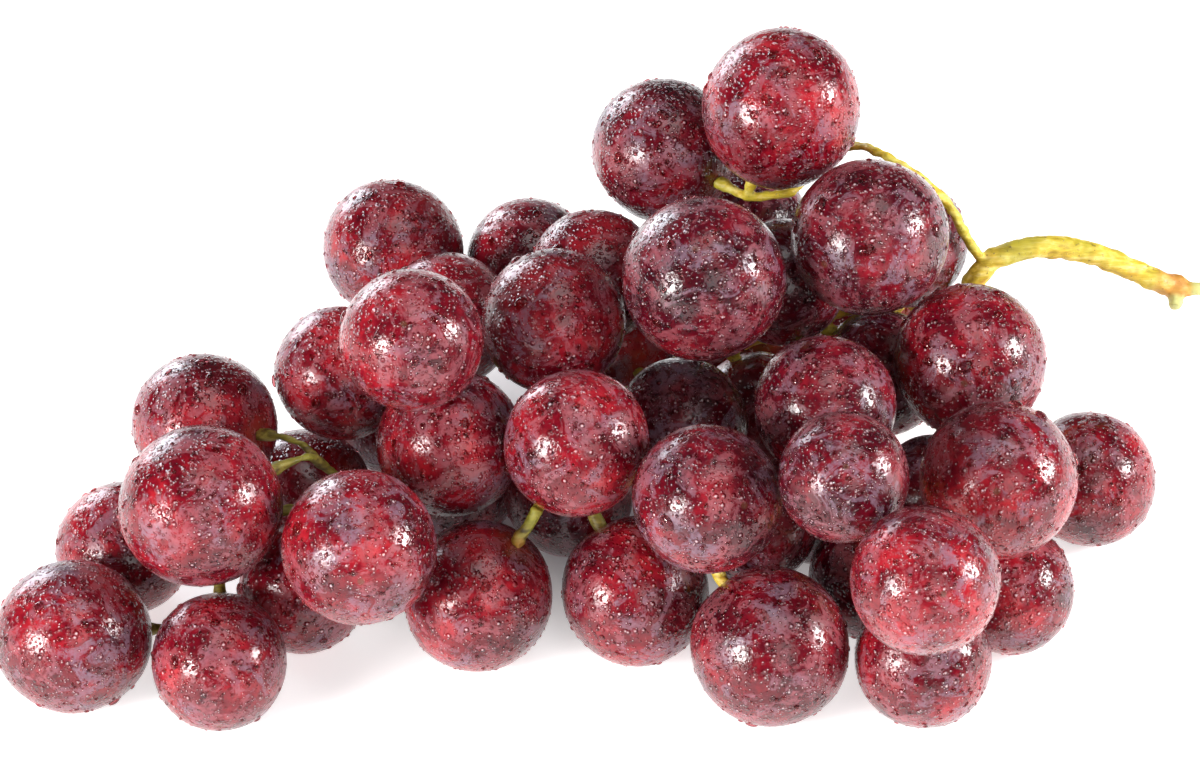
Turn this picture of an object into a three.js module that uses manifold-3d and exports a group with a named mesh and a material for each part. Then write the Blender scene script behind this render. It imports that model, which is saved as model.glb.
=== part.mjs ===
// A bunch of large round red grapes lying on a table, as picked, with its cut stem.
// Millimetres, +Z up, the table at z = 0. +X runs along the bunch to the cut end of the stem,
// and +Y runs away from the viewer, who looks down on the bunch from the front.

import * as THREE from 'three';
import { mergeVertices } from 'three/addons/utils/BufferGeometryUtils.js';
import Module from 'manifold-3d';

// The viewer looks at the middle of the bunch from this far, tilted down by this angle
const SIGHT_DISTANCE = 700;
const SIGHT_TILT = THREE.MathUtils.degToRad(38);
const MIDDLE_HEIGHT = 25;

// Clear space between two neighbours, and how far a grape is pressed flat on the table
const CLEARANCE = 0.35;
const PRESSED = 0.6;

// Grapes that show. Each row is the place across and up and the width, as the viewer sees them in the
// upright plane through the middle, then the height of the centre, or that the grape rests on the table.
const ON_TABLE = 0;
const SHOWN_GRAPES = [
  [-83.4, -40.9, 25.1, ON_TABLE],
  [-60.3, -43.9, 22.1, ON_TABLE],
  [-63.8, -20.2, 26.4, 30],
  [-63.2, -7.3, 23.4, 27],
  [-76.2, -27.3, 21.9, ON_TABLE],
  [-33.0, 20.9, 22.6, 36],
  [-30.1, 6.3, 23.4, 42],
  [-41.3, 0.9, 21.6, 28],
  [-24.3, 9.5, 21.8, 33],
  [-7.4, 9.2, 23.5, 46],
  [-1.0, 16.4, 21.4, 42],
  [-11.2, 18.8, 20.8, 34],
  [-3.8, -10.3, 23.8, 34],
  [-24.0, -10.2, 24.0, 24],
  [-38.6, -26.8, 25.4, 28],
  [-19.4, -35.1, 24.3, ON_TABLE],
  [-48.6, -34.3, 21.1, ON_TABLE],
  [29.0, 43.3, 25.9, 62],
  [10.4, 36.6, 23.5, 52],
  [16.6, 16.1, 26.9, 52],
  [43.2, 22.8, 25.6, 54],
  [48.5, 21.8, 20.8, 38],
  [36.0, -4.4, 23.4, 34],
  [13.1, -6.6, 20.8, 24],
  [17.1, -19.1, 24.5, 34],
  [39.0, -15.6, 21.6, 38],
  [5.8, -34.3, 24.0, ON_TABLE],
  [27.0, -42.5, 25.9, ON_TABLE],
  [52.0, -32.2, 24.6, 36],
  [51.5, -45.0, 22.4, ON_TABLE],
  [63.8, -16.1, 25.9, 33],
  [59.2, 3.1, 25.1, 34],
  [78.1, -15.9, 21.8, ON_TABLE],
  [65.6, -33.4, 21.0, ON_TABLE],
];

// Grapes in the shadow between those, of which only a part shows
const DEEP_GRAPES = [
  [-5.6, -17.4, 21.4, 18],
  [31.2, 15.1, 20.5, 36],
  [45.1, 3.9, 20.8, 26],
  [38.6, -33.4, 20.2, 10],
  [18.8, -29.2, 20.0, 14],
  [27.2, -10.5, 20.0, 20],
  [-48.0, -17.5, 21.2, 11],
  [19.0, 28.5, 20.8, 38],
  [-19.5, -21.5, 20.6, 14],
  [29.5, -20.5, 19.6, 13],
  [50.3, -19.5, 18.8, 17],
];

// Dark gaps between the shown grapes, across, up and radius, behind which more grapes lie
const DARK_GAPS = [
  [5.6, 4.7, 3.5],
  [24.0, 2.3, 5.0],
  [40.0, 6.6, 3.0],
  [-15.2, -22.2, 3.5],
  [27.2, 24.7, 5.0],
  [-47.5, -6.5, 5.0],
  [-45.6, -14.5, 6.0],
  [-50.4, -24.9, 5.0],
  [-69.6, -33.7, 4.0],
  [35.2, -28.9, 5.0],
  [22.4, -9.7, 4.0],
  [48.8, 8.0, 4.0],
  [4.0, 12.7, 3.0],
];

// Stems that show, from the cut end inwards. Each row is across, up and the height over the table.
const PEDUNCLE = [
  [92.2, 14.7, 31.5],
  [89.6, 15.6, 33.0],
  [83.2, 18.5, 36.0],
  [76.8, 20.7, 38.5],
  [70.4, 21.2, 40.0],
  [64.0, 19.9, 39.5],
  [61.6, 18.3, 38.0],
  [59.5, 15.1, 35.0],
];
const TOP_LATERAL = [
  [61.6, 18.3, 38.0],
  [58.4, 23.1, 44.0],
  [56.8, 26.3, 48.0],
  [54.4, 29.5, 51.0],
  [46.4, 35.4, 56.0],
  [43.2, 37.0, 56.0],
  [41.3, 37.5, 55.0],
  [36.8, 36.7, 53.0],
  [33.0, 32.5, 50.5],
  [30.0, 29.5, 49.5],
  [27.0, 29.4, 49.0],
  [23.5, 29.2, 48.5],
];
// The fork at the left, and the two short stems from it that end at the grapes of those numbers
const LEFT_FORK = [-43.2, -11.3, 31.0];
const LEFT_PEDICELS = [
  { grape: 3, rows: [[-47.2, -12.2, 32.5]] },
  { grape: 4, rows: [[-48.5, -9.8, 31.5]] },
];
// A place on the short stem of one more grape, which shows in the gap over it
const LOW_PEDICEL = { grape: 16, row: [-11.6, -22.3, 25.0] };

// The stem is thinnest at one grape and grows with the number that it bears
const PEDICEL_RADIUS = 0.64;
const STEM_GROWTH = 0.27;
const THICK_STEM = 2.1;
const STEM_SIDES = { thin: 5, thick: 8 };
const STEM_STEP = 3.6;
const FORK_SWELLING = 1.2;
const STEM_SPARE = 0.25;

// The end of each pedicel widens to the cap that a grape hangs from
const CAP_RADIUS = 1.2;

// The cut end is a knot of the cane with two stubs, along and across the stem
const KNOT_RADIUS = 2.15;
const STUB_RADIUS = 1.25;
const STUBS = [[96.3, 14.4, 31.5], [92.0, 11.6, 30.0]];

// The hidden part of the stem finds its way between the grapes through cells of this size
const CELL = 2;
const CELL_MARGIN = 6;
const TIGHT_SPACE = 0.75;
const EASY_SPACE = 1.5;
const TIGHT_COST = 2.5;
const SEEN_COST = 20;
const HIDING_MARGIN = 1.5;
const APPROACH = [2.2, 4.6];

// Then it is pulled straight, and two stems that leave a fork closer than this are joined
const SMOOTHING_PASSES = 60;
const PULL = 0.5;
const FORK_ROOM = 1.1;

const GRAPE_SKIN = { color: 0x6e1626, roughness: 0.35, metalness: 0 };
const STEM_BARK = { color: 0xb5a02e, roughness: 0.6, metalness: 0 };

// Outline of a grape: points from the pole at the stem to the far pole, and faces round it
const GRAPE_RINGS = 9;
const GRAPE_FACES = 14;
const GRAPE_WAIST = 0.97;
const DIMPLE_DEPTH = 0.05;
const DIMPLE_ANGLE = 0.34;

// The grapes that no one sees from the front, placed by a rule with seeded draws
const HIDDEN_TRIES = 6000;
const HIDDEN_RADII = [10.2, 12.2];
const HIDDEN_BOX = new THREE.Box3(new THREE.Vector3(-60, -45, 10), new THREE.Vector3(75, 45, 46));
const HIDDEN_ON_TABLE = 0.4;
const HIDDEN_REACH = [15, 36];
const HIDDEN_TO_STEM = 2.5;
const HIDDEN_SEED = 11;
const COVER_RINGS = [{ share: 0.55, count: 8 }, { share: 1, count: 20 }];

// The middle line of the bunch, which the stem keeps near: the further off, the more a way costs
const CORE_STEPS = 30;
const CORE = new THREE.CatmullRomCurve3([
  new THREE.Vector3(-45, -24, 24),
  new THREE.Vector3(-15, -8, 24),
  new THREE.Vector3(15, 2, 26),
  new THREE.Vector3(45, 10, 30),
]).getPoints(CORE_STEPS);
const CORE_REACH = 12;

const SETTLING_PASSES = 600;
const TABLE_BLOCK = 60;

const FORWARD = new THREE.Vector3(0, Math.cos(SIGHT_TILT), -Math.sin(SIGHT_TILT));
const UPWARD = new THREE.Vector3(0, Math.sin(SIGHT_TILT), Math.cos(SIGHT_TILT));
const SIDEWAYS = new THREE.Vector3(1, 0, 0);
const EYE = new THREE.Vector3(0, 0, MIDDLE_HEIGHT).addScaledVector(FORWARD, -SIGHT_DISTANCE);

// The line of sight through a place in the picture, as long as the way to the middle plane
function sightThrough(across, up) {
  return FORWARD.clone().multiplyScalar(SIGHT_DISTANCE)
    .addScaledVector(SIDEWAYS, across)
    .addScaledVector(UPWARD, up);
}

// The point on a line of sight at a height over the table
function pointAt([across, up, height]) {
  const sight = sightThrough(across, up);
  return EYE.clone().addScaledVector(sight, (height - EYE.z) / sight.z);
}

// Puts a grape at a share of its line of sight, and sizes it so that it looks as wide as before
function placeAt(grape, share) {
  grape.share = share;
  grape.radius = grape.width / 2 * share;
  grape.centre = EYE.clone().addScaledVector(grape.sight, share);
}

function shareOnTable(grape) {
  return (EYE.z + PRESSED) / (grape.width / 2 - grape.sight.z);
}

function shownGrape([across, up, width, height]) {
  const grape = { sight: sightThrough(across, up), width, rests: height === ON_TABLE };
  const share = grape.rests ? shareOnTable(grape) : (height - EYE.z) / grape.sight.z;
  placeAt(grape, share);
  return grape;
}

function deepGrape(row) {
  return { ...shownGrape(row), loose: true };
}

// Slides a grape along its line of sight, but not into the table
function slide(grape, distance) {
  const share = grape.share + distance / grape.sight.length();
  placeAt(grape, Math.min(share, shareOnTable(grape)));
}

// Moves a loose grape straight, but not into the table
function shift(grape, direction, distance) {
  grape.centre.addScaledVector(direction, distance);
  grape.centre.z = Math.max(grape.centre.z, grape.radius);
}

// Nudges a grape that rests on the table along it
function nudge(grape, direction, distance) {
  grape.sight.addScaledVector(direction, distance);
  placeAt(grape, shareOnTable(grape));
}

// Moves two grapes apart, those that show only along the line of sight, so that they keep their places
function moveApart(one, other) {
  const gap = other.centre.clone().sub(one.centre);
  const needed = one.radius + other.radius + CLEARANCE;
  const overlap = needed - gap.length();
  if (overlap <= 0) {
    return;
  }
  const depth = gap.dot(FORWARD);
  const beside = Math.sqrt(Math.max(gap.lengthSq() - depth * depth, 0));
  const push = Math.sqrt(Math.max(needed * needed - beside * beside, 0)) - Math.abs(depth);
  const away = depth < 0 ? -push : push;
  if (one.loose || other.loose) {
    const moved = one.loose && other.loose ? overlap / 2 : overlap;
    gap.normalize();
    shift(one, gap, one.loose ? -moved : 0);
    shift(other, gap, other.loose ? moved : 0);
  } else if (one.rests && other.rests) {
    gap.setZ(0).normalize();
    nudge(one, gap, -overlap / 2);
    nudge(other, gap, overlap / 2);
  } else {
    const moved = one.rests || other.rests ? away : away / 2;
    slide(one, one.rests ? 0 : -moved);
    slide(other, other.rests ? 0 : moved);
  }
}

function settle(grapes) {
  for (let pass = 0; pass < SETTLING_PASSES; pass += 1) {
    grapes.forEach((one, index) => {
      grapes.slice(index + 1).forEach((other) => moveApart(one, other));
    });
  }
}

// Where a ball is seen, as a disc in the upright plane through the middle
function discOf({ centre, radius }) {
  const ray = centre.clone().sub(EYE);
  const share = ray.dot(FORWARD) / SIGHT_DISTANCE;
  return { across: ray.dot(SIDEWAYS) / share, up: ray.dot(UPWARD) / share, radius: radius / share };
}

// True if a disc lies behind the discs that cover it, tested at its centre and on two rings
function isCovered(disc, covers) {
  const points = [[0, 0]];
  COVER_RINGS.forEach(({ share, count }) => {
    for (let step = 0; step < count; step += 1) {
      const angle = 2 * Math.PI * step / count;
      points.push([Math.cos(angle) * share * disc.radius, Math.sin(angle) * share * disc.radius]);
    }
  });
  return points.every(([x, y]) => covers.some((cover) => (
    Math.hypot(disc.across + x - cover.across, disc.up + y - cover.up) <= cover.radius
  )));
}

function drawFrom(low, high) {
  return low + (high - low) * THREE.MathUtils.seededRandom();
}

function randomBall() {
  const { min, max } = HIDDEN_BOX;
  const radius = drawFrom(...HIDDEN_RADII);
  const centre = new THREE.Vector3(drawFrom(min.x, max.x), drawFrom(min.y, max.y), drawFrom(min.z, max.z));
  const lowest = radius - PRESSED;
  const rests = THREE.MathUtils.seededRandom() < HIDDEN_ON_TABLE || centre.z < lowest;
  centre.z = rests ? lowest : centre.z;
  return { centre, radius, rests };
}

// How loosely a ball would lie: the space left to its three nearest neighbours, the table being one
function looseness(ball, grapes) {
  const spaces = grapes.map((grape) => ball.centre.distanceTo(grape.centre) - ball.radius - grape.radius);
  spaces.push(ball.rests ? CLEARANCE : ball.centre.z - ball.radius);
  spaces.sort((one, other) => one - other);
  return spaces[0] < CLEARANCE ? Infinity : spaces[0] + spaces[1] + spaces[2];
}

function offCore(place) {
  return Math.min(...CORE.map((point) => point.distanceTo(place)));
}

// Of many random balls round the core, clear of the stem points and out of sight, the one that fits best
function bestHidden(grapes, covers, stemPoints) {
  let best = null;
  let least = Infinity;
  for (let attempt = 0; attempt < HIDDEN_TRIES; attempt += 1) {
    const ball = randomBall();
    const reach = offCore(ball.centre);
    const stemSpace = Math.min(...stemPoints.map((point) => point.distanceTo(ball.centre))) - ball.radius;
    if (reach > HIDDEN_REACH[0] && reach < HIDDEN_REACH[1] && stemSpace > HIDDEN_TO_STEM) {
      const loose = looseness(ball, grapes);
      if (loose < least && isCovered(discOf(ball), covers)) {
        best = ball;
        least = loose;
      }
    }
  }
  return best;
}

// Adds hidden grapes until no more fit
function addHidden(grapes, stemPoints) {
  const covers = grapes.map(discOf);
  DARK_GAPS.forEach(([across, up, radius]) => covers.push({ across, up, radius }));
  THREE.MathUtils.seededRandom(HIDDEN_SEED);
  let ball = bestHidden(grapes, covers, stemPoints);
  while (ball) {
    grapes.push(ball);
    covers.push(discOf(ball));
    ball = bestHidden(grapes, covers, stemPoints);
  }
}

const grapes = [...SHOWN_GRAPES.map(shownGrape), ...DEEP_GRAPES.map(deepGrape)];
settle(grapes);
const stem = [];

// Adds points to the stem, each growing from the one before, and returns the last one
function grow(points, parent, fixed) {
  let last = parent;
  points.forEach((point) => {
    last = { point, parent: last, fixed, bears: 0 };
    stem.push(last);
  });
  return last;
}

function nearestOf(points, place) {
  const distances = points.map((point) => point.distanceTo(place));
  return distances.indexOf(Math.min(...distances));
}

const peduncleEnd = grow(PEDUNCLE.map(pointAt), null, true);
const firstFork = stem[nearestOf(stem.map((node) => node.point), pointAt(TOP_LATERAL[0]))];
grow(TOP_LATERAL.slice(1).map(pointAt), firstFork, true);
addHidden(grapes, [...stem.map((node) => node.point), pointAt(LEFT_FORK)]);

// The space round the grapes, in cells: how much room each has, and the shortest way there from the stem
function makeCells() {
  const box = new THREE.Box3();
  grapes.forEach(({ centre, radius }) => {
    box.expandByPoint(centre.clone().subScalar(radius + CELL_MARGIN));
    box.expandByPoint(centre.clone().addScalar(radius + CELL_MARGIN));
  });
  box.min.z = PEDICEL_RADIUS + STEM_SPARE;
  const counts = box.getSize(new THREE.Vector3()).divideScalar(CELL).floor().addScalar(1);
  const total = counts.x * counts.y * counts.z;
  return {
    box,
    counts,
    cost: new Float64Array(total).fill(-1),
    way: new Float64Array(total).fill(Infinity),
    from: new Int32Array(total).fill(-1),
    owner: new Map(),
  };
}

const cells = makeCells();

function cellPoint(index) {
  const { box, counts } = cells;
  const x = index % counts.x;
  const y = Math.floor(index / counts.x) % counts.y;
  const z = Math.floor(index / (counts.x * counts.y));
  return new THREE.Vector3(x, y, z).multiplyScalar(CELL).add(box.min);
}

function cellAt(point) {
  const { box, counts } = cells;
  const place = point.clone().sub(box.min).divideScalar(CELL).round();
  place.clamp(new THREE.Vector3(), counts.clone().subScalar(1));
  return place.x + counts.x * (place.y + counts.y * place.z);
}

function roomAt(point) {
  return Math.min(...grapes.map(({ centre, radius }) => point.distanceTo(centre) - radius));
}

// True if no grape hides a stem there from the viewer
function isSeen(point) {
  const sight = point.clone().sub(EYE);
  const length = sight.length();
  sight.divideScalar(length);
  return grapes.every(({ centre, radius }) => {
    const away = centre.clone().sub(EYE);
    const along = away.dot(sight);
    return along > length || away.addScaledVector(sight, -along).length() > radius - HIDING_MARGIN;
  });
}

// What a step into a cell costs for its length: more where it is tight, far from the middle line or in
// sight, and nothing goes into a grape
function costOf(index) {
  if (cells.cost[index] < 0) {
    const point = cellPoint(index);
    const room = roomAt(point);
    const tight = room < EASY_SPACE ? TIGHT_COST : 1;
    const far = 1 + (offCore(point) / CORE_REACH) ** 2;
    const seen = room >= TIGHT_SPACE && isSeen(point) ? SEEN_COST : 1;
    cells.cost[index] = room < TIGHT_SPACE ? Infinity : tight * far * seen;
  }
  return cells.cost[index];
}

const STEPS = [];
[-1, 0, 1].forEach((x) => [-1, 0, 1].forEach((y) => [-1, 0, 1].forEach((z) => {
  if (x || y || z) {
    STEPS.push({ x, y, z, length: CELL * Math.hypot(x, y, z) });
  }
})));

// Carries the shortest way on from some cells until no other cell gains by it
function spread(starts) {
  const { counts, way, from } = cells;
  let front = starts;
  while (front.length > 0) {
    const next = new Set();
    front.forEach((index) => {
      const x = index % counts.x;
      const y = Math.floor(index / counts.x) % counts.y;
      const z = Math.floor(index / (counts.x * counts.y));
      STEPS.forEach((step) => {
        const inside = x + step.x >= 0 && x + step.x < counts.x && y + step.y >= 0
          && y + step.y < counts.y && z + step.z >= 0 && z + step.z < counts.z;
        if (!inside) {
          return;
        }
        const other = index + step.x + counts.x * (step.y + counts.y * step.z);
        const length = way[index] + step.length * costOf(other);
        if (length < way[other]) {
          way[other] = length;
          from[other] = index;
          next.add(other);
        }
      });
    });
    front = [...next];
  }
}

// Lets ways start from these points of the stem
function startFrom(nodes) {
  const starts = nodes.map((node) => {
    const cell = cellAt(node.point);
    cells.way[cell] = 0;
    cells.from[cell] = -1;
    cells.owner.set(cell, node);
    return cell;
  });
  spread(starts);
}

// Grows the stem along the shortest way to a cell, and returns its last point
function growTo(cell) {
  const way = [];
  let at = cell;
  while (cells.from[at] >= 0) {
    way.unshift(at);
    at = cells.from[at];
  }
  const before = stem.length;
  const last = grow(way.map(cellPoint), cells.owner.get(at), false);
  startFrom(stem.slice(before));
  return last;
}

// The cell near a grape that the stem reaches by the shortest way
function approachTo({ centre, radius }) {
  const reach = radius + APPROACH[1];
  let best = -1;
  for (let x = -reach; x <= reach; x += CELL) {
    for (let y = -reach; y <= reach; y += CELL) {
      for (let z = -reach; z <= reach; z += CELL) {
        const cell = cellAt(centre.clone().add(new THREE.Vector3(x, y, z)));
        const space = cellPoint(cell).distanceTo(centre) - radius;
        if (space > APPROACH[0] && space < APPROACH[1]) {
          best = best < 0 || cells.way[cell] < cells.way[best] ? cell : best;
        }
      }
    }
  }
  return best;
}

function hangGrape(grape, parent) {
  stem.push({ point: parent.point.clone(), parent, hangs: grape, bears: 0 });
}

// The main stem goes on from the peduncle to the left fork, and then ways start all along the stem, but
// for the bare stretch before the first fork
startFrom([peduncleEnd]);
const leftFork = growTo(cellAt(pointAt(LEFT_FORK)));
startFrom(stem.slice(stem.indexOf(firstFork)));
LEFT_PEDICELS.forEach(({ grape, rows }) => {
  hangGrape(grapes[grape - 1], grow(rows.map(pointAt), leftFork, true));
});
const lowEnd = growTo(cellAt(pointAt(LOW_PEDICEL.row)));
lowEnd.fixed = true;
hangGrape(grapes[LOW_PEDICEL.grape - 1], lowEnd);
const hung = stem.map((node) => node.hangs);
const waiting = new Set(grapes.filter((grape) => !hung.includes(grape)));
while (waiting.size > 0) {
  const reached = [...waiting].map((grape) => ({ grape, cell: approachTo(grape) }));
  reached.sort((one, other) => cells.way[one.cell] - cells.way[other.cell]);
  const { grape, cell } = reached[0];
  hangGrape(grape, growTo(cell));
  waiting.delete(grape);
}

// Counts the grapes that each point of the stem bears
stem.filter((node) => node.hangs).forEach((node) => {
  for (let at = node; at; at = at.parent) {
    at.bears += 1;
  }
});

function stemRadius(node) {
  return PEDICEL_RADIUS * node.bears ** STEM_GROWTH;
}

function childrenOf() {
  const children = new Map(stem.map((node) => [node, []]));
  stem.filter((node) => node.parent).forEach((node) => children.get(node.parent).push(node));
  return children;
}

// Holds a point of the stem clear of the grapes and the table
function keepClear(node) {
  grapes.forEach(({ centre, radius }) => {
    const away = node.point.clone().sub(centre);
    const needed = radius + stemRadius(node) + CLEARANCE + STEM_SPARE;
    if (away.length() < needed) {
      node.point.copy(centre).add(away.setLength(needed));
    }
  });
  node.point.z = Math.max(node.point.z, stemRadius(node) + STEM_SPARE);
}

// Pulls the stem straight between its forks, but not into sight, and ends each pedicel square on its grape
function straighten() {
  const children = childrenOf();
  stem.forEach((node) => {
    if (node.hangs) {
      node.point.copy(node.parent.point).sub(node.hangs.centre)
        .setLength(node.hangs.radius + CLEARANCE)
        .add(node.hangs.centre);
      return;
    }
    if (!node.fixed) {
      const pull = new THREE.Vector3();
      children.get(node).forEach((child) => pull.add(child.point));
      pull.divideScalar(children.get(node).length).lerp(node.parent.point, PULL);
      const pulled = node.point.clone().lerp(pull, PULL);
      node.point.copy(isSeen(pulled) && !isSeen(node.point) ? node.point : pulled);
    }
    keepClear(node);
  });
}

// Joins two stems that leave a fork side by side, so that they part where there is room between them
function joinClose() {
  const children = childrenOf();
  for (const siblings of children.values()) {
    for (const one of siblings) {
      for (const other of siblings) {
        const room = FORK_ROOM * (stemRadius(one) + stemRadius(other));
        const free = one !== other && !one.hangs && !other.hangs && !other.fixed;
        if (free && one.point.distanceTo(other.point) < room) {
          children.get(other).forEach((child) => {
            child.parent = one;
          });
          one.bears += other.bears;
          stem.splice(stem.indexOf(other), 1);
          return true;
        }
      }
    }
  }
  return false;
}

for (let pass = 0; pass < SMOOTHING_PASSES; pass += 1) {
  straighten();
  while (joinClose());
}

const wasm = await Module();
wasm.setup();

function toSolid(geometry) {
  geometry.deleteAttribute('normal');
  geometry.deleteAttribute('uv');
  const merged = mergeVertices(geometry);
  return new wasm.Manifold(new wasm.Mesh({
    numProp: 3,
    vertProperties: new Float32Array(merged.attributes.position.array),
    triVerts: new Uint32Array(merged.index.array),
  }));
}

function toGeometry(solid) {
  const { vertProperties, triVerts } = solid.getMesh();
  const geometry = new THREE.BufferGeometry();
  geometry.setAttribute('position', new THREE.BufferAttribute(vertProperties, 3));
  geometry.setIndex(new THREE.BufferAttribute(triVerts, 1));
  geometry.computeVertexNormals();
  return geometry;
}

// A grape with its stem pole up the Y axis: slightly long, with a shallow dimple where it hangs
function grapeBody(radius) {
  const profile = [];
  for (let ring = 0; ring <= GRAPE_RINGS + 1; ring += 1) {
    const angle = Math.PI * (1 - ring / (GRAPE_RINGS + 1));
    const dimple = DIMPLE_DEPTH * Math.exp(-((angle / DIMPLE_ANGLE) ** 2));
    const reach = radius * (1 - dimple);
    profile.push(new THREE.Vector2(GRAPE_WAIST * reach * Math.sin(angle), reach * Math.cos(angle)));
  }
  profile[0].x = 0;
  profile[profile.length - 1].x = 0;
  return new THREE.LatheGeometry(profile, GRAPE_FACES);
}

function placeAlong(geometry, point, direction) {
  const up = new THREE.Vector3(0, 1, 0);
  return geometry
    .applyQuaternion(new THREE.Quaternion().setFromUnitVectors(up, direction))
    .translate(point.x, point.y, point.z);
}

// A grape in its own place, turned so that its dimple meets its stem, and flat where it rests
function grapeMesh(grape, index) {
  const pole = stem.find((node) => node.hangs === grape).point.clone().sub(grape.centre).normalize();
  let geometry = placeAlong(grapeBody(grape.radius), new THREE.Vector3(), pole);
  if (grape.rests) {
    const table = new THREE.BoxGeometry(TABLE_BLOCK, TABLE_BLOCK, TABLE_BLOCK)
      .translate(0, 0, -grape.centre.z - TABLE_BLOCK / 2);
    geometry = toGeometry(toSolid(geometry).subtract(toSolid(table)));
  }
  const mesh = new THREE.Mesh(geometry, new THREE.MeshStandardMaterial(GRAPE_SKIN));
  mesh.name = `grape_${String(index + 1).padStart(2, '0')}`;
  mesh.position.copy(grape.centre);
  return mesh;
}

// The stem as branches, each of which follows the thickest way on from its fork to one grape
function branches() {
  const children = childrenOf();
  const thickest = new Map(stem.map((node) => (
    [node, children.get(node).sort((one, other) => other.bears - one.bears)[0]]
  )));
  const starts = stem.filter((node) => !node.parent || thickest.get(node.parent) !== node);
  return starts.map((start) => {
    const nodes = start.parent ? [start.parent] : [];
    for (let at = start; at; at = thickest.get(at)) {
      nodes.push(at);
    }
    const points = nodes.map((node) => node.point);
    const radii = nodes.map((node) => {
      const swelling = children.get(node).length > 1 ? FORK_SWELLING : 1;
      return node.hangs ? capRadius(node) : swelling * stemRadius(node);
    });
    radii[0] = stemRadius(start);
    return { points, radii };
  });
}

// As wide as the other grapes leave room for
function capRadius({ point, hangs }) {
  const others = grapes.filter((grape) => grape !== hangs);
  const room = Math.min(...others.map(({ centre, radius }) => point.distanceTo(centre) - radius));
  return THREE.MathUtils.clamp(room - STEM_SPARE, PEDICEL_RADIUS, CAP_RADIUS);
}

// A closed tube through points, as thick at each ring as at the nearest of them
function stemTube({ points, radii }) {
  const sides = Math.max(...radii) > THICK_STEM ? STEM_SIDES.thick : STEM_SIDES.thin;
  const outline = Array.from({ length: sides }, (_, side) => {
    const angle = 2 * Math.PI * side / sides;
    return new THREE.Vector2(Math.cos(angle), Math.sin(angle)).multiplyScalar(PEDICEL_RADIUS);
  });
  const path = new THREE.CatmullRomCurve3(points);
  const steps = Math.max(1, Math.round(path.getLength() / STEM_STEP));
  const tube = new THREE.ExtrudeGeometry(
    new THREE.Shape(outline),
    { steps, extrudePath: path, bevelEnabled: false },
  );
  const centres = path.getSpacedPoints(steps);
  const rings = centres.map((centre) => radii[nearestOf(points, centre)] / PEDICEL_RADIUS);
  const corner = new THREE.Vector3();
  for (let index = 0; index < tube.attributes.position.count; index += 1) {
    corner.fromBufferAttribute(tube.attributes.position, index);
    const ring = nearestOf(centres, corner);
    corner.sub(centres[ring]).multiplyScalar(rings[ring]).add(centres[ring]);
    tube.attributes.position.setXYZ(index, ...corner);
  }
  return tube;
}

function cutEnd() {
  const knot = stem[0].point;
  const stubs = STUBS.map((row) => (
    stemTube({ points: [knot, pointAt(row)], radii: [STUB_RADIUS, STUB_RADIUS] })
  ));
  return [new THREE.IcosahedronGeometry(KNOT_RADIUS, 1).translate(...knot), ...stubs];
}

function stemMesh() {
  const pieces = [...branches().map(stemTube), ...cutEnd()];
  const whole = pieces.map(toSolid).reduce((one, other) => one.add(other));
  const mesh = new THREE.Mesh(toGeometry(whole), new THREE.MeshStandardMaterial(STEM_BARK));
  mesh.name = 'stem';
  return mesh;
}

const bunch = new THREE.Group();
bunch.add(...grapes.map(grapeMesh), stemMesh());

// The origin is the middle of the bunch, on the table
const middle = new THREE.Box3().setFromObject(bunch).getCenter(new THREE.Vector3());
bunch.position.set(-middle.x, -middle.y, 0);

export default bunch;
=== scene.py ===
"""A bunch of red table grapes as picked: dewy skins with bloom, and a green-gold stem.

Metres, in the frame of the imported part: +X along the bunch to the cut end of the stem, +Z up.
"""

import math

import bmesh
import bpy
import numpy as np
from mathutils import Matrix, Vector, noise
from mathutils.bvhtree import BVHTree


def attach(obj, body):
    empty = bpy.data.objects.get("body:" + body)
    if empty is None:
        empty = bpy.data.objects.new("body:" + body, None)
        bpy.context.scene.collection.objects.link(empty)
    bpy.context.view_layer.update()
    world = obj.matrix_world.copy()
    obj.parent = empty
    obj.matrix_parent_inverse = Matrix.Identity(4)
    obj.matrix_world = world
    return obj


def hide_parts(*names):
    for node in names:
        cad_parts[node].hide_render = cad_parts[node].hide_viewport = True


MM = 0.001

# The viewer looks at the middle of the picture from this far, tilted down by this angle
SIGHT_DISTANCE = 700 * MM
SIGHT_TILT = math.radians(38)
SIGHT_AIM = Vector((-2.45, 16.56, 25.0)) * MM
PICTURE_WIDTH = 192 * MM
SENSOR_WIDTH = 36

# The solid grape is an ellipsoid with a dimple at its stem: its waist, and the dimple's depth and angle
WAIST = 0.97
DIMPLE_DEPTH = 0.05
DIMPLE_ANGLE = 0.34

# The skin's mesh, how far it stands out of the solid's corners, and how uneven it is
SKIN_SEGMENTS = 72
SKIN_RINGS = 44
SKIN_SWELL = 0.1 * MM
LUMPS = 0.22 * MM
LUMP_SIZE = 9 * MM
SCAR_DEPTH = 0.25 * MM
SCAR_ANGLE = 0.05

# A solid grape's corners below this height are of the flat spot that it rests on
FLAT_HEIGHT = 0.05 * MM

# The stem ends at a grape with its corners this little further off than the nearest, or this near the skin
STEM_END_SPREAD = 0.25 * MM
STEM_END_REACH = 0.6 * MM

# A grape's long axis helps to find its pole where the cosine between it and the stem's end is above this
AXIS_MATCH = 0.9

# How far the skin has turned from red to plum, for the grapes where it shows most
PLUM = {11: 0.5, 12: 0.75, 19: 0.7, 20: 0.9, 21: 0.8, 22: 0.9, 23: 0.85, 24: 0.85, 25: 0.7,
        26: 0.75, 28: 0.5, 35: 0.8, 36: 0.9, 37: 0.9, 38: 0.9, 39: 0.9, 42: 0.9, 43: 0.8, 44: 0.9, 45: 0.9}
PLUM_ELSEWHERE = (0.0, 0.3)

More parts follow.
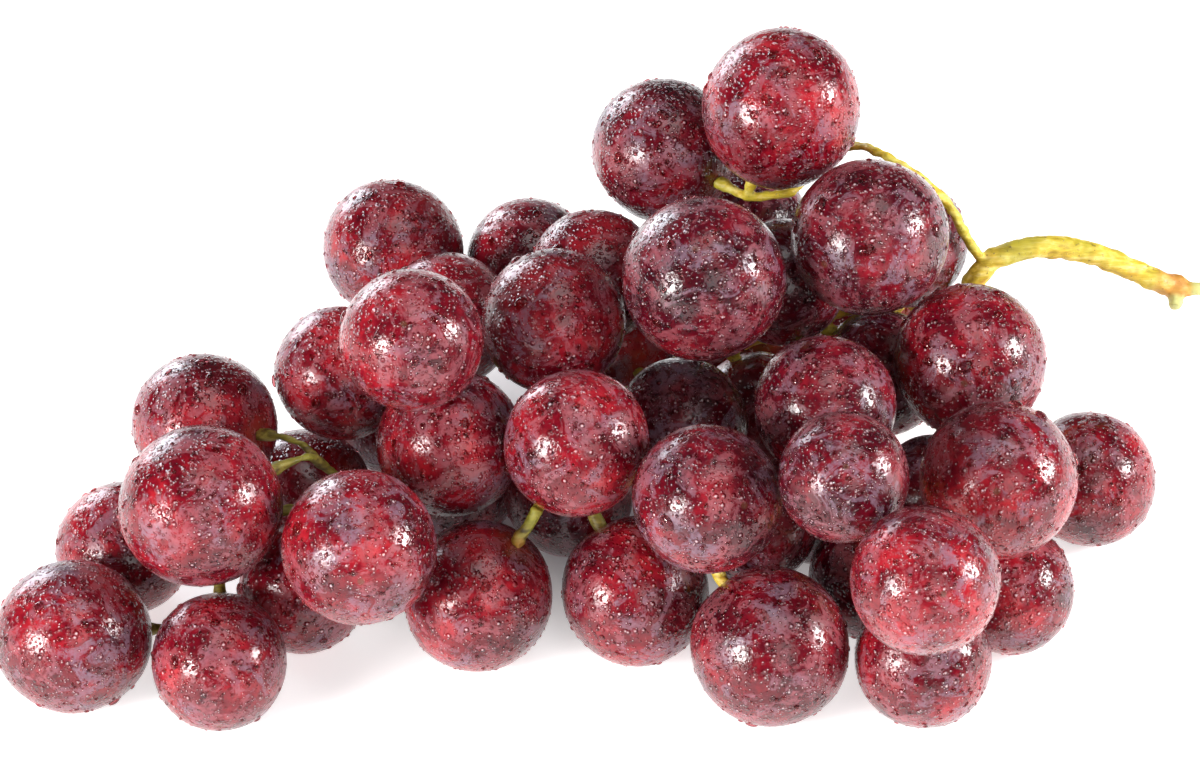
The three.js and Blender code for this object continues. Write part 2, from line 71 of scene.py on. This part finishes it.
# Dew: beads on every grape, fewer on those numbered after the last shown one, and more large drops on some
BEADS = 260
HIDDEN_BEADS = 60
LAST_SHOWN = 34
BEAD_RADII = (0.17 * MM, 0.5 * MM)
DROPS = {3: 9, 4: 16, 6: 12, 7: 20, 10: 9, 13: 6, 18: 24, 19: 9, 20: 12, 21: 14, 31: 18, 32: 26, 33: 9}
OTHER_DROPS = 4
DROP_RADII = (0.55 * MM, 1.25 * MM)
DROP_HEIGHT = 0.45
DROP_SEGMENTS = 16
DROP_RINGS = 9
BEAD_SEGMENTS = 9
BEAD_RINGS = 5
DEW_SEED = 5

# How deep a drop's sunk part is, to the height of the part above the skin
SUNK_SHARE = 0.5

# Most dew is small, a little more of it lies on the near upper side, and no drop is quite round
DEW_SMALLNESS = 2.2
DEW_LEAN = (0, -0.35, 0.35)
DEW_STRETCH = (0.8, 1.25)

# Dew's angle from the stem, as the skin's material reads it: far from both poles
DEW_FROM_STEM = 1.5

# The stem is made from the solid one, melted together, smoothed and roughened. The roughness is a fractal
# with this falling off, this much finer at each layer, in this many layers.
STEM_VOXEL = 0.38 * MM
STEM_SMOOTHING = 6
STEM_SWELL = 0.1 * MM
STEM_ROUGHNESS = 0.28 * MM
STEM_ROUGH_SIZE = 2 * MM
STEM_ROUGH_LAYERS = (1.0, 2.0, 2)
CAP_RADII = (0.65 * MM, 1.2 * MM)
CAP_REACH = 1.2 * MM
CAP_SEGMENTS = 12

# The stem is gold down to the first of these places along X, and a dark olive from the second: partly the
# stem's own colour, partly painted shade on the stems within the bunch
GOLD_REACH = (24 * MM, -2 * MM)

# The cut end of the stem: the knot and the two stubs on it
KNOT = Vector((90.9, 32.4, 31.5)) * MM
STUBS = (Vector((94.9, 31.9, 31.5)) * MM, Vector((90.5, 29.2, 30.0)) * MM)
KNOT_REACH = 6 * MM
KNOT_STRENGTH = 2.2
STUB_REACH = 2.4 * MM
STUB_STRENGTH = 3

FLOOR_SIZE = 6.0
FLOOR_DROP = 0.15 * MM

# The floor glows with this strength, but for a painted shadow under the bunch: an ellipse, narrower along
# Y, with a soft edge
FLOOR_GLOW = 0.62
PAINTED_SHADOW_MIDDLE = (0.0, 18 * MM, 0.0)
PAINTED_SHADOW_STRETCH = (1.0, 1.8, 1.0)
PAINTED_SHADOW_EDGE = (25 * MM, 70 * MM)

WHITE = (1.0, 1.0, 1.0)

# Each light's name, the direction it lies in, its distance, size, power and colour
LIGHTS = (
    ("key_light", (-0.75, -0.61, 0.32), 1.0, 0.36, 12.5, (1.0, 0.98, 0.96)),
    ("glint_light", (-0.72, -0.61, 0.36), 1.0, 0.09, 2, WHITE),
    ("side_light", (0.92, -0.10, 0.40), 1.0, 0.3, 13, WHITE),
    ("back_light", (-0.55, 0.80, 0.22), 1.2, 0.6, 12, (0.86, 0.91, 1.0)),
    ("front_light", (0.30, -0.85, 0.55), 1.4, 0.8, 5, WHITE),
    ("top_light", (0.15, -0.15, 1.0), 1.5, 0.9, 7, WHITE),
)
WORLD_STRENGTH = 0.09


class Shading:
    """One material's nodes: adds them, and links them to each other."""

    def __init__(self, name):
        self.material = bpy.data.materials.new(name)
        self.material.use_nodes = True
        self.tree = self.material.node_tree
        self.shader = self.tree.nodes["Principled BSDF"]
        self.place = self.add("TexCoord").outputs["Object"]

    def feed(self, socket, value):
        if isinstance(value, bpy.types.NodeSocket):
            self.tree.links.new(value, socket)
        else:
            socket.default_value = value

    def add(self, kind, inputs=(), **settings):
        node = self.tree.nodes.new("ShaderNode" + kind)
        for name, value in settings.items():
            setattr(node, name, value)
        for name, value in dict(inputs).items():
            self.feed(node.inputs[name], value)
        return node

    def attribute(self, name):
        return self.add("Attribute", attribute_name=name).outputs["Fac"]

    def math(self, operation, first, second=0.0):
        return self.add("Math", {0: first, 1: second}, operation=operation).outputs[0]

    def mix(self, share, first, second):
        return self.add("Mix", {0: share, 6: first, 7: second}, data_type="RGBA").outputs[2]

    def patches(self, size, detail=3.0, roughness=0.55, distortion=0.0, place=None):
        """Cloudy patches about this large, from 0 to 1."""
        inputs = {"Vector": place or self.place, "Scale": 1 / size, "Detail": detail,
                  "Roughness": roughness, "Distortion": distortion}
        return self.add("TexNoise", inputs).outputs["Fac"]

    def stretch(self, scale, middle=(0.0, 0.0, 0.0)):
        """Places from a middle, squeezed by a factor along each axis."""
        shift = [-part * factor for part, factor in zip(middle, scale)]
        inputs = {"Vector": self.place, "Scale": scale, "Location": shift}
        return self.add("Mapping", inputs).outputs["Vector"]

    def between(self, value, low, high):
        """0 below low, 1 above high."""
        inputs = {"Value": value, "From Min": low, "From Max": high}
        return self.add("MapRange", inputs, clamp=True).outputs["Result"]

    def ramp(self, value, stops):
        node = self.add("ValToRGB", {"Fac": value})
        elements = node.color_ramp.elements
        while len(elements) < len(stops):
            elements.new(0.5)
        for element, (place, colour) in zip(elements, stops):
            element.position = place
            element.color = colour
        return node.outputs["Color"]

    def beads(self, size, radius, share):
        """Round beads in cells of a size: their height in metres, where they are, and their middles, where
        a glint is painted.
        """
        cell = self.add("TexVoronoi", {"Vector": self.place, "Scale": 1 / size, "Randomness": 1.0})
        squared = self.math("POWER", cell.outputs["Distance"], 2.0)
        dome = self.math("SQRT", self.math("MAXIMUM", self.math("SUBTRACT", radius ** 2, squared), 0.0))
        draw = self.add("SeparateColor", {0: cell.outputs["Color"]}).outputs[0]
        chosen = self.math("LESS_THAN", draw, share)
        dome = self.math("MULTIPLY", dome, chosen)
        there = self.between(dome, 0.0, radius * 0.35)
        middle = self.between(dome, radius * 0.88, radius * 0.98)
        return self.math("MULTIPLY", dome, size * 0.9), there, middle


def rgb(red, green, blue):
    return (red, green, blue, 1.0)


def skin_material():
    """Thin crimson to plum skin, patchy bloom over it, and fine dew that thins the bloom, with a painted
    glint at the middle of each bead.
    """
    skin = Shading("grape_skin")
    mottle = skin.math("ADD", skin.math("MULTIPLY", skin.patches(8 * MM, 3), 0.7),
                       skin.math("MULTIPLY", skin.patches(1.5 * MM, 4, 0.6), 0.3))
    red = skin.ramp(mottle, (
        (0.36, rgb(0.055, 0.0004, 0.004)),
        (0.50, rgb(0.17, 0.0015, 0.008)),
        (0.64, rgb(0.38, 0.012, 0.020)),
    ))
    plum = skin.ramp(mottle, (
        (0.36, rgb(0.018, 0.0003, 0.003)),
        (0.50, rgb(0.060, 0.0010, 0.006)),
        (0.66, rgb(0.20, 0.005, 0.014)),
    ))
    colour = skin.mix(skin.attribute("plum"), red, plum)

    fine_height, fine, fine_painted_glint = skin.beads(0.62 * MM, 0.42, 0.75)
    small_height, small, small_painted_glint = skin.beads(1.3 * MM, 0.38, 0.45)
    beaded = skin.math("MULTIPLY", skin.math("MAXIMUM", fine, small), 0.6)
    painted_glint = skin.math("MAXIMUM", fine_painted_glint, small_painted_glint)

    cover = skin.between(skin.patches(5 * MM, 8, 0.70, 1.2), 0.49, 0.55)
    dust = skin.between(skin.patches(0.7 * MM, 4, 0.7), 0.20, 0.60)
    dry = skin.math("MULTIPLY", skin.math("MULTIPLY", cover, dust), skin.math("SUBTRACT", 1.0, beaded))
    bloom = skin.mix(skin.between(skin.patches(11 * MM, 2), 0.45, 0.60),
                     rgb(0.31, 0.085, 0.105), rgb(0.22, 0.145, 0.20))
    colour = skin.mix(skin.math("MULTIPLY", dry, 0.65), colour, bloom)
    # Painted glint: a pale point at the middle of each bead, in the base colour, the same from every side
    colour = skin.mix(skin.math("MULTIPLY", painted_glint, 0.6), colour, rgb(0.75, 0.55, 0.58))

    at_stem = skin.between(skin.attribute("from_stem"), 0.42, 0.12)
    colour = skin.mix(skin.math("MULTIPLY", at_stem, 0.6), colour, rgb(0.30, 0.05, 0.03))
    scar = skin.between(skin.attribute("from_stem"), math.pi - 0.06, math.pi - 0.03)
    colour = skin.mix(skin.math("MULTIPLY", scar, 0.7), colour, rgb(0.10, 0.04, 0.02))

    grain = skin.math("MULTIPLY", skin.patches(0.45 * MM, 2), 0.05 * MM)
    height = skin.math("ADD", skin.math("ADD", fine_height, small_height), grain)
    height = skin.math("ADD", height, skin.math("MULTIPLY", skin.patches(2.2 * MM, 3), 0.12 * MM))
    bump = skin.add("Bump", {"Height": height, "Distance": 1.0, "Strength": 1.0})

    shader = skin.shader.inputs
    skin.feed(shader["Base Color"], colour)
    skin.feed(shader["Roughness"], skin.math("ADD", skin.math("MULTIPLY", dry, 0.27), 0.18))
    skin.feed(shader["Normal"], bump.outputs["Normal"])
    skin.feed(shader["Coat Normal"], bump.outputs["Normal"])
    shader["Subsurface Weight"].default_value = 0.2
    shader["Subsurface Radius"].default_value = (1.0, 0.15, 0.08)
    shader["Subsurface Scale"].default_value = 2 * MM
    shader["Specular IOR Level"].default_value = 0.3
    shader["Coat Weight"].default_value = 0.4
    shader["Coat Roughness"].default_value = 0.09
    return skin.material


def water_material():
    """Water, tinted by the skin under it, from which it clears the bloom."""
    water = Shading("dew")
    shader = water.shader.inputs
    ripple = water.patches(1.5 * MM, 1)
    bump = water.add("Bump", {"Height": ripple, "Distance": 0.04 * MM})
    water.feed(shader["Normal"], bump.outputs["Normal"])
    shader["Base Color"].default_value = rgb(0.70, 0.22, 0.24)
    shader["Roughness"].default_value = 0.03
    shader["IOR"].default_value = 1.33
    shader["Transmission Weight"].default_value = 1.0
    return water.material


def bark_material():
    """Green-gold stalk with pale streaks and brown specks, dark olive within the bunch that is partly
    painted shade, brown at the knot and pale where it is cut.
    """
    bark = Shading("stem_bark")
    streaks = bark.patches(0.9 * MM, 4, 0.6, place=bark.stretch((0.12, 1.0, 1.0)))
    clouds = bark.patches(9 * MM, 3)
    gold = bark.ramp(streaks, (
        (0.32, rgb(0.42, 0.26, 0.015)),
        (0.50, rgb(0.74, 0.53, 0.040)),
        (0.68, rgb(0.92, 0.76, 0.24)),
    ))
    olive_and_shade = bark.ramp(streaks, (
        (0.34, rgb(0.06, 0.035, 0.006)),
        (0.50, rgb(0.20, 0.15, 0.018)),
        (0.66, rgb(0.36, 0.30, 0.06)),
    ))
    # Partly painted shade: the stem takes the dark olive within the bunch
    colour = bark.mix(bark.attribute("olive_and_shade_share"), gold, olive_and_shade)
    green = bark.math("MULTIPLY", bark.between(clouds, 0.48, 0.62), 0.5)
    colour = bark.mix(green, colour, rgb(0.33, 0.34, 0.02))
    brown = bark.math("MULTIPLY", bark.between(clouds, 0.42, 0.34), 0.5)
    colour = bark.mix(brown, colour, rgb(0.60, 0.25, 0.03))
    specks = bark.between(bark.patches(0.55 * MM, 2), 0.64, 0.72)
    colour = bark.mix(bark.math("MULTIPLY", specks, 0.7), colour, rgb(0.13, 0.065, 0.018))
    browned = bark.math("MULTIPLY", bark.attribute("knot"), bark.between(clouds, 0.3, 0.55))
    colour = bark.mix(browned, colour, rgb(0.48, 0.19, 0.03))
    colour = bark.mix(bark.attribute("stub"), colour, rgb(0.58, 0.56, 0.20))
    ridges = bark.math("MULTIPLY", streaks, 0.25 * MM)
    height = bark.math("ADD", ridges, bark.math("MULTIPLY", specks, 0.1 * MM))
    bump = bark.add("Bump", {"Height": height, "Distance": 1.0, "Strength": 0.7})
    shader = bark.shader.inputs
    bark.feed(shader["Base Color"], colour)
    bark.feed(shader["Roughness"], bark.between(streaks, -0.6, 1.6))
    bark.feed(shader["Normal"], bump.outputs["Normal"])
    shader["Subsurface Weight"].default_value = 0.12
    shader["Subsurface Radius"].default_value = (1.0, 0.7, 0.2)
    shader["Subsurface Scale"].default_value = 1 * MM
    return bark.material


def floor_material():
    """White, lit from within but for a painted shadow under the bunch."""
    floor = Shading("pale_floor")
    tone = floor.mix(floor.patches(60 * MM, 2), rgb(0.86, 0.86, 0.86), rgb(0.90, 0.90, 0.90))
    floor.feed(floor.shader.inputs["Base Color"], tone)
    floor.shader.inputs["Roughness"].default_value = 0.6
    # Painted shadow: the glow fades to none in an ellipse under the bunch
    place = floor.stretch(PAINTED_SHADOW_STRETCH, PAINTED_SHADOW_MIDDLE)
    reach = floor.add("VectorMath", {0: place}, operation="LENGTH").outputs["Value"]
    glow = floor.math("MULTIPLY", floor.between(reach, *PAINTED_SHADOW_EDGE), FLOOR_GLOW)
    floor.shader.inputs["Emission Color"].default_value = rgb(1.0, 1.0, 1.0)
    floor.feed(floor.shader.inputs["Emission Strength"], glow)
    return floor.material


def corners_of(node):
    return np.array([corner.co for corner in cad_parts[node].data.vertices])


def outline(angle):
    """Reach across and along the axis of a grape of radius 1, at an angle from its stem."""
    reach = 1 - DIMPLE_DEPTH * np.exp(-((angle / DIMPLE_ANGLE) ** 2))
    return WAIST * reach * np.sin(angle), reach * np.cos(angle)


def unit(vectors):
    return vectors / np.linalg.norm(vectors, axis=-1, keepdims=True)


class Grape:
    """Centre, radius and stem pole of a solid grape, from its corners and those of the stem."""

    def __init__(self, node, stem_corners):
        self.node = node
        self.number = int(node.rsplit("_", 1)[1])
        corners = corners_of(node)
        rests = corners[:, 2].min() < FLAT_HEIGHT
        round_part = corners[corners[:, 2] > FLAT_HEIGHT] if rests else corners
        round_part = np.unique(np.round(round_part, 6), axis=0)
        terms = np.hstack([2 * round_part, np.ones((len(round_part), 1))])
        answer = np.linalg.lstsq(terms, (round_part ** 2).sum(1), rcond=None)[0]
        self.centre = answer[:3]
        away = round_part - self.centre
        near = self.nearest_stem(stem_corners, np.linalg.norm(away, axis=1).mean())
        axes = np.linalg.eigh(away.T @ away)[1]
        axis = axes[:, 2] * np.sign(axes[:, 2] @ near)
        self.pole = unit(axis + near) if axis @ near > AXIS_MATCH else near
        angles = np.arccos(np.clip(unit(away) @ self.pole, -1, 1))
        across, along = outline(angles)
        self.radius = np.median(np.linalg.norm(away, axis=1) / np.hypot(across, along))

    def nearest_stem(self, stem_corners, reach):
        """Direction of the end of the stem that this grape hangs from."""
        away = stem_corners - self.centre
        spaces = np.linalg.norm(away, axis=1)
        ends = away[spaces < max(spaces.min() + STEM_END_SPREAD, reach + STEM_END_REACH)]
        return unit(unit(ends).mean(0))

    def sides(self):
        """Two directions square to the pole."""
        first = unit(np.cross(self.pole, (0.31, 0.22, 0.93)))
        return first, np.cross(self.pole, first)


def skin_surface(grape):
    """Corners, faces and angles from the stem of a grape's skin."""
    angles = np.linspace(0, math.pi, SKIN_RINGS + 1)[1:-1]
    turns = np.linspace(0, 2 * math.pi, SKIN_SEGMENTS, endpoint=False)
    first, second = grape.sides()
    across, along = outline(angles)
    scar = SCAR_DEPTH / grape.radius * np.exp(-(((math.pi - angles) / SCAR_ANGLE) ** 2))
    round_it = np.cos(turns)[:, None] * first + np.sin(turns)[:, None] * second
    rings = across[:, None, None] * round_it + ((along + scar)[:, None, None] * grape.pole)
    top = grape.pole * outline(0.0)[1]
    bottom = -grape.pole * (1 - SCAR_DEPTH / grape.radius)
    shape = np.vstack([top, rings.reshape(-1, 3), bottom])
    corners = grape.centre + shape * (grape.radius + SKIN_SWELL)
    lumps = np.array([noise.noise(Vector(corner / LUMP_SIZE)) for corner in corners])
    corners += unit(shape) * (lumps * LUMPS)[:, None]
    corners[:, 2] = np.maximum(corners[:, 2], 0.0)
    from_stem = np.concatenate([[0.0], np.repeat(angles, SKIN_SEGMENTS), [math.pi]])
    return corners, ball_faces(SKIN_RINGS, SKIN_SEGMENTS), from_stem


def ball_faces(rings, segments):
    """Faces of a ball whose corners are a pole, the rings between the poles, and the other pole."""
    faces = []
    last = 1 + (rings - 1) * segments
    for side in range(segments):
        after = (side + 1) % segments
        faces.append((0, 1 + side, 1 + after))
        for ring in range(rings - 2):
            start = 1 + ring * segments
            faces.append((start + side, start + segments + side, start + segments + after, start + after))
        start = last - segments
        faces.append((start + after, start + side, last))
    return faces


def drop_shape(rings, segments):
    """Corners and faces of a drop of radius 1 on the plane z = 0, flatter below it than above."""
    angles = np.linspace(0, math.pi, rings + 1)[1:-1]
    turns = np.linspace(0, 2 * math.pi, segments, endpoint=False)
    round_it = [
        (math.sin(angle) * math.cos(turn), math.sin(angle) * math.sin(turn), math.cos(angle))
        for angle in angles
        for turn in turns
    ]
    corners = np.array([(0, 0, 1), *round_it, (0, 0, -1)]) * (1, 1, DROP_HEIGHT)
    corners[:, 2] = np.where(corners[:, 2] < 0, corners[:, 2] * SUNK_SHARE, corners[:, 2])
    return corners, ball_faces(rings, segments)


def has_room(place, radius, grape, grapes):
    """True if a drop there is over the table and clear of the other grapes."""
    if place[2] < radius:
        return False
    centres = np.array([other.centre for other in grapes if other is not grape])
    reaches = np.array([other.radius for other in grapes if other is not grape])
    return (np.linalg.norm(centres - place, axis=1) > reaches + radius * DROP_HEIGHT).all()


def sizes_between(limits, count, draws):
    """Random sizes, most of them near the lower limit."""
    return limits[0] + (limits[1] - limits[0]) * draws.random(count) ** DEW_SMALLNESS


def dew_on(grape, grapes, skin, draws):
    """Corners and faces of the beads and drops on a grape's skin, of many sizes, none on another."""
    large = drop_shape(DROP_RINGS, DROP_SEGMENTS)
    small = drop_shape(BEAD_RINGS, BEAD_SEGMENTS)
    surface = BVHTree.FromPolygons(*skin)
    beads = BEADS if grape.number <= LAST_SHOWN else HIDDEN_BEADS
    radii = list(sizes_between(DROP_RADII, DROPS.get(grape.number, OTHER_DROPS), draws))
    radii += list(sizes_between(BEAD_RADII, beads, draws))
    places = np.zeros((0, 3))
    sizes = np.zeros(0)
    corners = np.zeros((0, 3))
    faces = []
    for radius in radii:
        direction = unit(draws.normal(size=3) + DEW_LEAN)
        twist = draws.uniform(0, 2 * math.pi)
        stretch = draws.uniform(*DEW_STRETCH)
        angle = math.acos(np.clip(direction @ grape.pole, -1, 1))
        place = np.array(surface.ray_cast(grape.centre, direction)[0])
        clear = (np.linalg.norm(places - place, axis=1) > sizes + radius).all()
        if angle < 2 * DIMPLE_ANGLE or not clear or not has_room(place, radius, grape, grapes):
            continue
        places = np.vstack([places, place])
        sizes = np.append(sizes, radius)
        side = unit(np.cross(direction, (math.cos(twist), math.sin(twist), 0.2)))
        other_side = np.cross(direction, side)
        shape, shape_faces = large if radius > BEAD_RADII[1] else small
        turned = shape[:, :1] * side * stretch
        turned = turned + shape[:, 1:2] * other_side / stretch + shape[:, 2:] * direction
        faces += [tuple(corner + len(corners) for corner in face) for face in shape_faces]
        corners = np.vstack([corners, place + turned * radius])
    return corners, faces


def dress_grape(grape, grapes, draws, materials):
    """A skin with dew on it, which stands for the solid grape."""
    skin, faces, from_stem = skin_surface(grape)
    dew, dew_faces = dew_on(grape, grapes, (skin.tolist(), faces), draws)
    start = len(skin)
    faces_of_dew = [tuple(corner + start for corner in face) for face in dew_faces]
    mesh = bpy.data.meshes.new(f"skin_{grape.number:02d}")
    mesh.from_pydata(np.vstack([skin, dew]).tolist(), [], faces + faces_of_dew)
    for material in materials:
        mesh.materials.append(material)
    kinds = [0] * len(faces) + [1] * len(faces_of_dew)
    mesh.polygons.foreach_set("material_index", kinds)
    mesh.shade_smooth()
    plum = PLUM.get(grape.number, draws.uniform(*PLUM_ELSEWHERE))
    whole = len(skin) + len(dew)
    add_values(mesh, "plum", np.full(whole, plum))
    add_values(mesh, "from_stem", np.concatenate([from_stem, np.full(len(dew), DEW_FROM_STEM)]))
    piece = bpy.data.objects.new(f"grape_skin_{grape.number:02d}", mesh)
    bpy.context.scene.collection.objects.link(piece)
    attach(piece, "root")
    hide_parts(grape.node)


def add_values(mesh, name, values):
    mesh.attributes.new(name, "FLOAT", "POINT").data.foreach_set("value", np.asarray(values, np.float32))


def add_cap(shape, grape):
    """The end of a pedicel, which widens to the dimple of its grape."""
    start = grape.radius * outline(0.0)[1]
    narrow, wide = CAP_RADII
    made = bmesh.ops.create_cone(shape, cap_ends=True, segments=CAP_SEGMENTS, radius1=wide, radius2=narrow,
                                 depth=CAP_REACH)
    turn = Vector(grape.pole).to_track_quat("Z", "Y").to_matrix()
    for corner in made["verts"]:
        corner.co = turn @ corner.co + Vector(grape.centre + grape.pole * (start + CAP_REACH / 2))


def melted(mesh):
    """The mesh as one smooth body."""
    rough = bpy.data.objects.new("rough_stem", mesh)
    bpy.context.scene.collection.objects.link(rough)
    remesh = rough.modifiers.new("melt", "REMESH")
    remesh.mode = "VOXEL"
    remesh.voxel_size = STEM_VOXEL
    smooth = rough.modifiers.new("smooth", "SMOOTH")
    smooth.iterations = STEM_SMOOTHING
    whole = bpy.data.meshes.new_from_object(rough.evaluated_get(bpy.context.evaluated_depsgraph_get()))
    bpy.data.objects.remove(rough)
    return whole


def near(corners, place, radius):
    """1 at a place, down to 0 at a radius round it."""
    return np.clip(1 - np.linalg.norm(corners - np.array(place), axis=1) / radius, 0, 1)


def dress_stem(grapes, material):
    """The stem with its caps, melted into one, with swellings and roughness."""
    shape = bmesh.new()
    shape.from_mesh(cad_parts["stem"].data)
    for grape in grapes:
        add_cap(shape, grape)
    mesh = bpy.data.meshes.new("rough_stem")
    shape.to_mesh(mesh)
    shape.free()
    whole = melted(mesh)
    corners = np.array([corner.co for corner in whole.vertices])
    normals = np.array([corner.normal for corner in whole.vertices])
    unevenness = np.array([
        noise.fractal(Vector(corner / STEM_ROUGH_SIZE), *STEM_ROUGH_LAYERS) for corner in corners
    ])
    corners += normals * (STEM_SWELL + STEM_ROUGHNESS * unevenness)[:, None]
    whole.vertices.foreach_set("co", corners.ravel())
    whole.update()
    add_values(whole, "knot", np.clip(KNOT_STRENGTH * near(corners, KNOT, KNOT_REACH), 0, 1))
    stub_share = sum(near(corners, stub, STUB_REACH) for stub in STUBS)
    add_values(whole, "stub", np.clip(STUB_STRENGTH * stub_share, 0, 1))
    # Partly painted shade: the share of dark olive grows from the gold end to the olive start along X
    gold_end, olive_and_shade_start = GOLD_REACH
    add_values(whole, "olive_and_shade_share", np.clip((gold_end - corners[:, 0]) / (gold_end - olive_and_shade_start), 0, 1))
    whole.materials.clear()
    whole.materials.append(material)
    whole.shade_smooth()
    piece = bpy.data.objects.new("grape_stem", whole)
    bpy.context.scene.collection.objects.link(piece)
    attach(piece, "root")
    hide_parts("stem")


def add_floor():
    mesh = bpy.data.meshes.new("floor")
    half = FLOOR_SIZE / 2
    corners = [(-half, -half, 0), (half, -half, 0), (half, half, 0), (-half, half, 0)]
    mesh.from_pydata(corners, [], [(0, 1, 2, 3)])
    mesh.materials.append(floor_material())
    floor = bpy.data.objects.new("floor", mesh)
    floor.location.z = -FLOOR_DROP
    bpy.context.scene.collection.objects.link(floor)


def add_light(name, direction, distance, size, power, colour):
    """A soft square light that faces the bunch from a direction."""
    light = bpy.data.lights.new(name, "AREA")
    light.size = size
    light.energy = power
    light.color = colour
    lamp = bpy.data.objects.new(name, light)
    towards = Vector(direction).normalized()
    lamp.location = towards * distance
    lamp.rotation_euler = towards.to_track_quat("Z", "Y").to_euler()
    bpy.context.scene.collection.objects.link(lamp)


def add_lights():
    for light in LIGHTS:
        add_light(*light)
    world = bpy.data.worlds.new("studio")
    world.use_nodes = True
    world.node_tree.nodes["Background"].inputs["Color"].default_value = rgb(0.93, 0.96, 1.0)
    world.node_tree.nodes["Background"].inputs["Strength"].default_value = WORLD_STRENGTH
    bpy.context.scene.world = world


def add_camera():
    camera = bpy.data.cameras.new("camera")
    camera.sensor_width = SENSOR_WIDTH
    camera.lens = SENSOR_WIDTH * SIGHT_DISTANCE / PICTURE_WIDTH
    camera.clip_start = 0.01
    eye = bpy.data.objects.new("camera", camera)
    forward = Vector((0, math.cos(SIGHT_TILT), -math.sin(SIGHT_TILT)))
    eye.location = SIGHT_AIM - forward * SIGHT_DISTANCE
    eye.rotation_euler = (math.pi / 2 - SIGHT_TILT, 0, 0)
    bpy.context.scene.collection.objects.link(eye)
    bpy.context.scene.camera = eye


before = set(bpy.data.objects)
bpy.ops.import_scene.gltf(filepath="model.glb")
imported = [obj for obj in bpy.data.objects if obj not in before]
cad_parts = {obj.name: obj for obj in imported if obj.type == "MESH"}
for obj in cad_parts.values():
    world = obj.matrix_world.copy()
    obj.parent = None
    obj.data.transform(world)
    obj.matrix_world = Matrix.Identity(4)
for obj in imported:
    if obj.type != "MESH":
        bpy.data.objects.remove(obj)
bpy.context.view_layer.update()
add_camera()
add_lights()
add_floor()

stem_corners = corners_of("stem")
grapes = [Grape(node, stem_corners) for node in sorted(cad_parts) if node != "stem"]
skin_and_dew = (skin_material(), water_material())
dew_draws = np.random.default_rng(DEW_SEED)
for one_grape in grapes:
    dress_grape(one_grape, grapes, dew_draws, skin_and_dew)
dress_stem(grapes, bark_material())

bpy.context.scene.view_settings.view_transform = "Standard"
